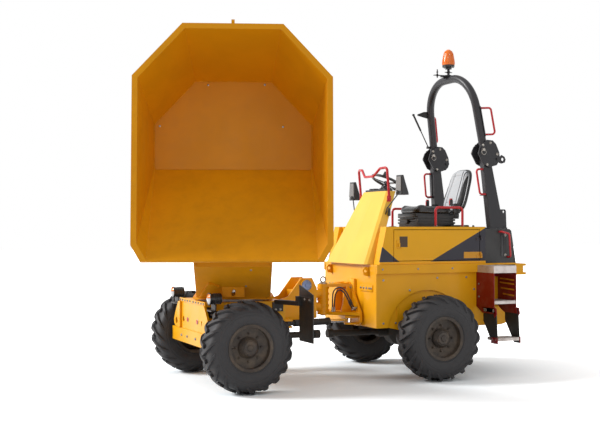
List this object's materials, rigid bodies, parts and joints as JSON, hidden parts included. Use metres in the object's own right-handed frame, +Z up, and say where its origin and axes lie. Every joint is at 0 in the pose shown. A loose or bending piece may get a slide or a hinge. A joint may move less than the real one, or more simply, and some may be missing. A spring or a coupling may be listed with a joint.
{
  "type": "articulated site dumper with a swivelling skip",
  "caption": "Articulated four-wheel-drive site dumper with a swivelling tipping skip, folding roll hoop, driver's seat over the engine, and steps on both sides.",
  "frame": {"origin": "on the ground under the middle of the front axle", "axes": "+X forward along the machine with its chassis straight, +Y to the driver's left, +Z up"},
  "size_m": [4.4082, 2.6654, 3.43],
  "materials": {
    "yellow_paint": "gloss enamel with dirt",
    "skip_paint": "worn satin enamel",
    "liner_paint": "worn satin enamel",
    "red_paint": "satin enamel",
    "crimson_paint": "satin enamel",
    "dark_paint": "matt dark grey",
    "hoop_paint": "satin dark grey",
    "black_paint": "satin black",
    "tread_plate": "chequered plate, dusty",
    "rim_paint": "dark, dusty",
    "tyre_rubber": "matt, dusty",
    "cast_iron": "rough, oily",
    "engine_alloy": "cast, dirty",
    "worn_steel": "bright wear",
    "ram_chrome": "polished rod",
    "black_plastic": "matt black",
    "grey_plastic": "dark grey, dusty",
    "console_plastic": "yellow moulding",
    "seat_fabric": "grey vinyl cloth",
    "seat_foam": "black vinyl",
    "flap_rubber": "matt",
    "hose_rubber": "smooth, dusty",
    "beacon_amber": "amber lens",
    "lamp_glass": "ribbed lens in a black shell"
  },
  "bodies": {
    "rear_chassis": {"rear_frame": "yellow_paint", "tail_cowl": "dark_paint", "deck": "yellow_paint", "bumper": "yellow_paint", "tow_hitch": "dark_paint", "engine_block": "engine_alloy", "rear_propshaft": "cast_iron", "rear_axle": "cast_iron", "seat_box": "yellow_paint", "rear_box": "grey_plastic", "side_handles": "red_paint", "console": "console_plastic", "console_guard": "red_paint", "mirrors": "black_plastic", "steering_column": "black_plastic", "seat_base": "black_plastic", "seat_cushion": "seat_foam", "seat_back": "seat_fabric", "seat_guards": "red_paint", "step_frames": "crimson_paint", "step_legs": "flap_rubber", "step_treads": "tread_plate", "rops_posts": "hoop_paint", "post_handles": "red_paint"},
    "pivot_yoke": {"pivot_yoke": "yellow_paint", "pivot_pin": "worn_steel", "steering_hoses": "hose_rubber"},
    "front_chassis": {"front_frame": "yellow_paint", "tower_caps": "yellow_paint", "mudflaps": "flap_rubber", "lamp_brackets": "dark_paint", "headlamps": "lamp_glass", "slew_ring": "worn_steel", "front_axle": "cast_iron", "front_propshaft": "cast_iron"},
    "swivel_frame": {"swivel_frame": "skip_paint"},
    "skip": {"skip_shell": "skip_paint", "skip_liner": "liner_paint", "skip_brackets": "skip_paint"},
    "tip_ram_barrel": {"tip_ram_barrel": "yellow_paint"},
    "tip_ram_rod": {"tip_ram_rod": "ram_chrome"},
    "steering_ram_barrel": {"steering_ram_barrel": "black_paint"},
    "steering_ram_rod": {"steering_ram_rod": "ram_chrome"},
    "roll_hoop": {"rops_hoop": "hoop_paint", "beacon_base": "black_plastic", "beacon_lens": "beacon_amber", "hoop_handles": "red_paint"},
    "side_door_left": {"side_door_left": "yellow_paint"},
    "side_door_right": {"side_door_right": "yellow_paint"},
    "steering_wheel": {"steering_wheel": "black_plastic"},
    "wheel_front_left": {"rim_front_left": "rim_paint", "tyre_front_left": "tyre_rubber"},
    "wheel_front_right": {"rim_front_right": "rim_paint", "tyre_front_right": "tyre_rubber"},
    "wheel_rear_left": {"rim_rear_left": "rim_paint", "tyre_rear_left": "tyre_rubber"},
    "wheel_rear_right": {"rim_rear_right": "rim_paint", "tyre_rear_right": "tyre_rubber"}
  },
  "joints": [
    {"name": "chassis_roll", "type": "hinge", "parent": "rear_chassis", "child": "pivot_yoke", "pos_m": [-1.44, 0, 0.72], "axis": [1, 0, 0], "range_deg": [-10, 10]},
    {"name": "articulation", "type": "hinge", "parent": "pivot_yoke", "child": "front_chassis", "pos_m": [-1.14, 0, 0.775], "axis": [0, 0, 1], "range_deg": [-33, 33]},
    {"name": "wheel_front_left", "type": "hinge", "parent": "front_chassis", "child": "wheel_front_left", "pos_m": [0, 0.805, 0.4225], "axis": [0, 1, 0], "continuous": true},
    {"name": "wheel_front_right", "type": "hinge", "parent": "front_chassis", "child": "wheel_front_right", "pos_m": [0, -0.805, 0.4225], "axis": [0, 1, 0], "continuous": true},
    {"name": "wheel_rear_left", "type": "hinge", "parent": "rear_chassis", "child": "wheel_rear_left", "pos_m": [-2.015, 0.805, 0.4225], "axis": [0, 1, 0], "continuous": true},
    {"name": "wheel_rear_right", "type": "hinge", "parent": "rear_chassis", "child": "wheel_rear_right", "pos_m": [-2.015, -0.805, 0.4225], "axis": [0, 1, 0], "continuous": true},
    {"name": "skip_swivel", "type": "hinge", "parent": "front_chassis", "child": "swivel_frame", "pos_m": [-0.172, 0, 0.83], "axis": [0, 0, 1], "range_deg": [-159.5, 20.5]},
    {"name": "skip_tip", "type": "hinge", "parent": "swivel_frame", "child": "skip", "pos_m": [0.14865, 0.85762, 1.24779], "axis": [-0.9367, 0.3502, 0], "range_deg": [-80, 0]},
    {"name": "tip_ram_swing", "type": "hinge", "parent": "swivel_frame", "child": "tip_ram_barrel", "pos_m": [-0.27356, -0.27164, 0.935], "axis": [-0.9367, 0.3502, 0], "range_deg": [0, 25.2]},
    {"name": "tip_ram_stroke", "type": "slide", "parent": "tip_ram_barrel", "child": "tip_ram_rod", "axis": [0.2848, 0.7617, 0.582], "range_m": [-0.3876, 0]},
    {"name": "steering_ram_swing", "type": "hinge", "parent": "front_chassis", "child": "steering_ram_barrel", "pos_m": [-0.62, 0.3, 0.57], "axis": [0, 0, 1], "range_deg": [-7.1, 7.1]},
    {"name": "steering_ram_stroke", "type": "slide", "parent": "steering_ram_barrel", "child": "steering_ram_rod", "axis": [-0.9904, -0.1385, 0], "range_m": [-0.1263, 0.1263]},
    {"name": "hoop_fold", "type": "hinge", "parent": "rear_chassis", "child": "roll_hoop", "pos_m": [-2.877, 0, 2.218], "axis": [0, 1, 0], "range_deg": [-120, 0]},
    {"name": "door_left", "type": "hinge", "parent": "rear_chassis", "child": "side_door_left", "pos_m": [-2.654, 0.602, 1.3], "axis": [0, 0, 1], "range_deg": [0, 100]},
    {"name": "door_right", "type": "hinge", "parent": "rear_chassis", "child": "side_door_right", "pos_m": [-2.654, -0.602, 1.3], "axis": [0, 0, 1], "range_deg": [-100, 0]},
    {"name": "steering_wheel_turn", "type": "hinge", "parent": "rear_chassis", "child": "steering_wheel", "pos_m": [-1.885, 0, 1.968], "axis": [-0.4305, 0, 0.9026], "continuous": true}
  ],
  "couplings": [
    {"joint": "tip_ram_swing", "follows": "skip_tip", "ratio": -0.31488},
    {"joint": "tip_ram_stroke", "follows": "skip_tip", "m_per_rad": 0.27747},
    {"joint": "steering_ram_swing", "follows": "articulation", "ratio": -0.2144},
    {"joint": "steering_ram_stroke", "follows": "articulation", "m_per_rad": -0.2191}
  ]
}
